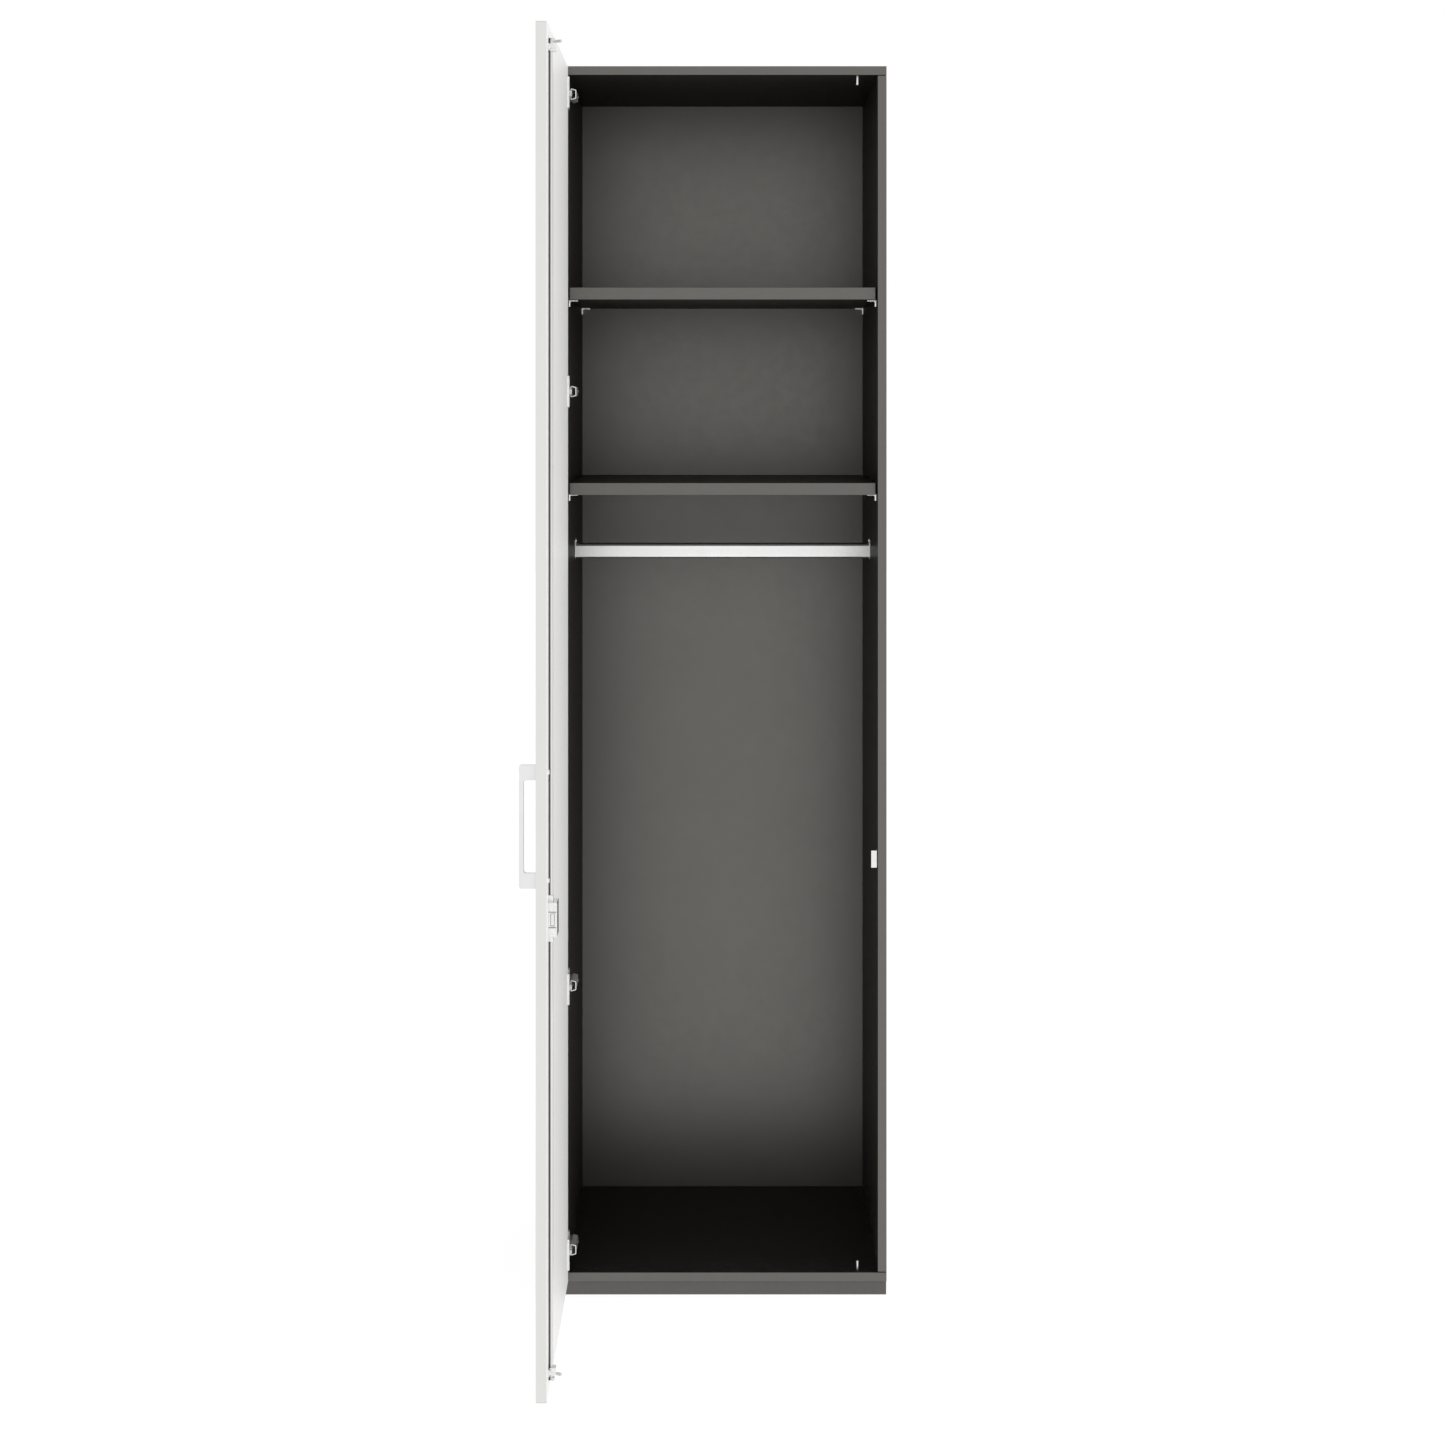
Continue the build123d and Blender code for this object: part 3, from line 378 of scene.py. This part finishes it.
def finish(material, names):
    """Gives a material to the named pieces."""
    for name in names:
        mesh = nodes[name].data
        mesh.materials.clear()
        mesh.materials.append(material)


# Operators, one for each group of like pieces


class CABINET_OT_boards(bpy.types.Operator):
    """Finish the grey boards and their edge bands"""

    bl_idname = "cabinet.boards"
    bl_label = "Grey boards"

    def execute(self, context):
        base = context.scene.cabinet_finish.grey_board
        finish(pearl_melamine("grey_melamine", base), GREY_BOARDS)
        finish(edge_band("grey_edge_band", base, PEARL_SHARE, PEARL_EDGE_TINT), GREY_BANDS)
        return {"FINISHED"}


class CABINET_OT_door(bpy.types.Operator):
    """Finish the door and its edge bands"""

    bl_idname = "cabinet.door"
    bl_label = "Door"

    def execute(self, context):
        colours = context.scene.cabinet_finish
        finish(plain_melamine("white_melamine", colours.white_board), ("door_panel",))
        finish(edge_band("white_edge_band", colours.white_band), DOOR_BANDS)
        return {"FINISHED"}


class CABINET_OT_plinth(bpy.types.Operator):
    """Finish the plinth frame"""

    bl_idname = "cabinet.plinth"
    bl_label = "Plinth"

    def execute(self, context):
        finish(powder_coat("plinth_coat", context.scene.cabinet_finish.powder_coat), ("plinth_frame",))
        return {"FINISHED"}


class CABINET_OT_rail(bpy.types.Operator):
    """Finish the hanging rail and its sockets"""

    bl_idname = "cabinet.rail"
    bl_label = "Hanging rail"

    def execute(self, context):
        colours = context.scene.cabinet_finish
        finish(polished_tube("rail_chrome", colours.chrome), ("hanging_rail",))
        finish(brushed_metal("socket_nickel", colours.nickel, LONG_ON_X, low=0.4, high=0.5), SOCKETS)
        return {"FINISHED"}


class CABINET_OT_handle(bpy.types.Operator):
    """Finish the bow handle"""

    bl_idname = "cabinet.handle"
    bl_label = "Handle"

    def execute(self, context):
        satin = context.scene.cabinet_finish.satin
        finish(brushed_metal("handle_satin", satin, HANDLE_BRUSHING, low=0.32, high=0.42), ("handle",))
        return {"FINISHED"}


class CABINET_OT_hinges(bpy.types.Operator):
    """Finish the cup hinges and their clamping screws"""

    bl_idname = "cabinet.hinges"
    bl_label = "Hinges"

    def execute(self, context):
        colours = context.scene.cabinet_finish
        nickel = brushed_metal("hinge_nickel", colours.nickel, LONG_ON_Y, low=0.36, high=0.44)
        for number in HINGES:
            finish(nickel, [f"hinge_{number}_{piece}" for piece in HINGE_PIECES])
        finish(nickel, ("hinge_pins",))
        # Painted shade: the clamping screws take the dark steel in place of the shade they sit in inside the
        # cabinet
        dark = brushed_metal("painted_shade_steel", colours.painted_shade_steel, EVEN, low=0.3, high=0.4)
        finish(dark, ("hinge_arm_screws",))
        return {"FINISHED"}


class CABINET_OT_lock(bpy.types.Operator):
    """Finish the rod lock, its strike and its pins"""

    bl_idname = "cabinet.lock"
    bl_label = "Rod lock"

    def execute(self, context):
        colours = context.scene.cabinet_finish
        finish(zinc_plate("lock_zinc", colours.zinc), LOCK_HOUSING)
        # Painted shade on the rods: from the side towards the door up to this limit on the x axis, they take
        # the dark steel in place of the shadow between rod and door
        low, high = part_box("upper_rod")
        limit = low.x + (high.x - low.x) * ROD_PAINTED_SHADE_SHARE
        finish(lock_rod("rod_steel", colours.rod_steel, colours.painted_shade_steel, limit), RODS)
        finish(brushed_metal("hook_steel", colours.rod_steel, LONG_ON_Z, low=0.1, high=0.2), HOOKS)
        finish(brushed_metal("lock_nickel", colours.lock_steel, LONG_ON_Z, low=0.22, high=0.32), LOCK_STEEL)
        return {"FINISHED"}


class CABINET_OT_fasteners(bpy.types.Operator):
    """Finish the screws, dowels and shelf supports"""

    bl_idname = "cabinet.fasteners"
    bl_label = "Fasteners"

    def execute(self, context):
        colours = context.scene.cabinet_finish
        finish(brushed_metal("screw_nickel", colours.nickel, EVEN, low=0.36, high=0.44), SCREWS)
        finish(brushed_metal("support_nickel", colours.nickel, LONG_ON_Y, low=0.24, high=0.32), SUPPORTS)
        finish(beech("dowel_beech", colours.beech), ("carcass_dowels",))
        return {"FINISHED"}


# Stage


def seen_directly(tree):
    """One where the camera, a reflection or glass looks, and zero for scattered light."""
    path = tree.nodes.new("ShaderNodeLightPath")
    total = path.outputs["Is Camera Ray"]
    for kind in ("Is Glossy Ray", "Is Transmission Ray"):
        either = tree.nodes.new("ShaderNodeMath")
        either.operation = "MAXIMUM"
        tree.links.new(total, either.inputs[0])
        tree.links.new(path.outputs[kind], either.inputs[1])
        total = either.outputs["Value"]
    return total


def white_light(tree, strength):
    """Even white from all round."""
    background = tree.nodes.new("ShaderNodeBackground")
    background.inputs["Color"].default_value = WHITE
    background.inputs["Strength"].default_value = strength
    return background.outputs["Background"]


def studio_world(fill):
    """Even fill light that the camera and reflections see as white."""
    world = bpy.data.worlds.new("studio_world")
    world.use_nodes = True
    tree = world.node_tree
    tree.nodes.clear()
    output = tree.nodes.new("ShaderNodeOutputWorld")
    mix = tree.nodes.new("ShaderNodeMixShader")
    tree.links.new(seen_directly(tree), mix.inputs["Fac"])
    tree.links.new(white_light(tree, strength=fill), mix.inputs[1])
    tree.links.new(white_light(tree, strength=1.0), mix.inputs[2])
    tree.links.new(mix.outputs["Shader"], output.inputs["Surface"])
    return world


def floor_material():
    """White floor that keeps a faint shadow."""
    material = bpy.data.materials.new("studio_floor")
    material.use_nodes = True
    tree = material.node_tree
    tree.nodes.clear()
    output = tree.nodes.new("ShaderNodeOutputMaterial")
    matt = tree.nodes.new("ShaderNodeBsdfDiffuse")
    matt.inputs["Color"].default_value = FLOOR_COLOUR
    glow = tree.nodes.new("ShaderNodeEmission")
    glow.inputs["Strength"].default_value = FLOOR_GLOW
    both = tree.nodes.new("ShaderNodeAddShader")
    tree.links.new(matt.outputs["BSDF"], both.inputs[0])
    tree.links.new(glow.outputs["Emission"], both.inputs[1])
    tree.links.new(both.outputs["Shader"], output.inputs["Surface"])
    return material


def soft_box(name, place, turn, size, power):
    """A rectangular lamp, which reflections leave out because they show the white surroundings."""
    lamp = bpy.data.lights.new(name, "AREA")
    lamp.shape = "RECTANGLE"
    lamp.size, lamp.size_y = size
    lamp.energy = power
    holder = bpy.data.objects.new(name, lamp)
    holder.location = place
    holder.rotation_euler = turn
    holder.visible_glossy = False
    bpy.context.scene.collection.objects.link(holder)


def studio_camera(scene, place):
    """A level camera, so that uprights stay parallel, with its picture shifted down to the whole cabinet."""
    camera = bpy.data.cameras.new("studio_camera")
    camera.sensor_width = SENSOR_WIDTH
    camera.lens = SENSOR_WIDTH * FOCAL_PIXELS / PICTURE_PIXELS
    camera.shift_y = (HORIZON_PIXELS - PICTURE_PIXELS / 2) / PICTURE_PIXELS
    holder = bpy.data.objects.new("studio_camera", camera)
    holder.location = place
    holder.rotation_euler = (UPRIGHT_TURN, 0.0, 0.0)
    scene.collection.objects.link(holder)
    scene.camera = holder


class CABINET_OT_stage(bpy.types.Operator):
    """Make the floor, the lamps, the white surroundings and the camera"""

    bl_idname = "cabinet.stage"
    bl_label = "Stage"

    def execute(self, context):
        scene = context.scene
        studio = scene.cabinet_studio
        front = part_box("carcass_edge_bands")[0].y

        bpy.ops.mesh.primitive_plane_add(size=FLOOR_SIZE, location=(0.0, 0.0, 0.0))
        floor = context.active_object
        floor.name = "studio_floor"
        floor.data.materials.append(floor_material())

        soft_box(
            "front_soft_box",
            place=(0.0, front - FRONT_BOX_REACH, FRONT_BOX_HEIGHT),
            turn=(UPRIGHT_TURN, 0.0, 0.0),
            size=FRONT_BOX_SIZE,
            power=studio.front_power,
        )
        soft_box(
            "side_soft_box",
            place=(SIDE_BOX_RIGHT, front - SIDE_BOX_REACH, SIDE_BOX_HEIGHT),
            turn=(UPRIGHT_TURN, 0.0, UPRIGHT_TURN),
            size=SIDE_BOX_SIZE,
            power=studio.side_power,
        )
        scene.world = studio_world(studio.fill)
        studio_camera(scene, place=(0.0, front - studio.camera_distance, studio.camera_height))
        scene.view_settings.view_transform = "Standard"
        return {"FINISHED"}


OPERATORS = (
    CABINET_OT_boards,
    CABINET_OT_door,
    CABINET_OT_plinth,
    CABINET_OT_rail,
    CABINET_OT_handle,
    CABINET_OT_hinges,
    CABINET_OT_lock,
    CABINET_OT_fasteners,
    CABINET_OT_stage,
)


class CABINET_PT_panel(bpy.types.Panel):
    """Lists the colours, the light levels and the steps in order"""

    bl_label = "Cabinet"
    bl_idname = "CABINET_PT_panel"
    bl_space_type = "VIEW_3D"
    bl_region_type = "UI"
    bl_category = "Cabinet"

    def draw(self, context):
        for group in (context.scene.cabinet_finish, context.scene.cabinet_studio):
            for name in group.__annotations__:
                self.layout.prop(group, name)
        for operator in OPERATORS:
            self.layout.operator(operator.bl_idname)


CLASSES = (CabinetFinish, CabinetStudio, *OPERATORS, CABINET_PT_panel)


def register():
    for made in CLASSES:
        bpy.utils.register_class(made)
    bpy.types.Scene.cabinet_finish = PointerProperty(type=CabinetFinish)
    bpy.types.Scene.cabinet_studio = PointerProperty(type=CabinetStudio)


def unregister():
    del bpy.types.Scene.cabinet_studio
    del bpy.types.Scene.cabinet_finish
    for made in reversed(CLASSES):
        bpy.utils.unregister_class(made)


def main():
    register()
    for operator in OPERATORS:
        group, name = operator.bl_idname.split(".")
        getattr(getattr(bpy.ops, group), name)()


if __name__ == "__main__":
    main()
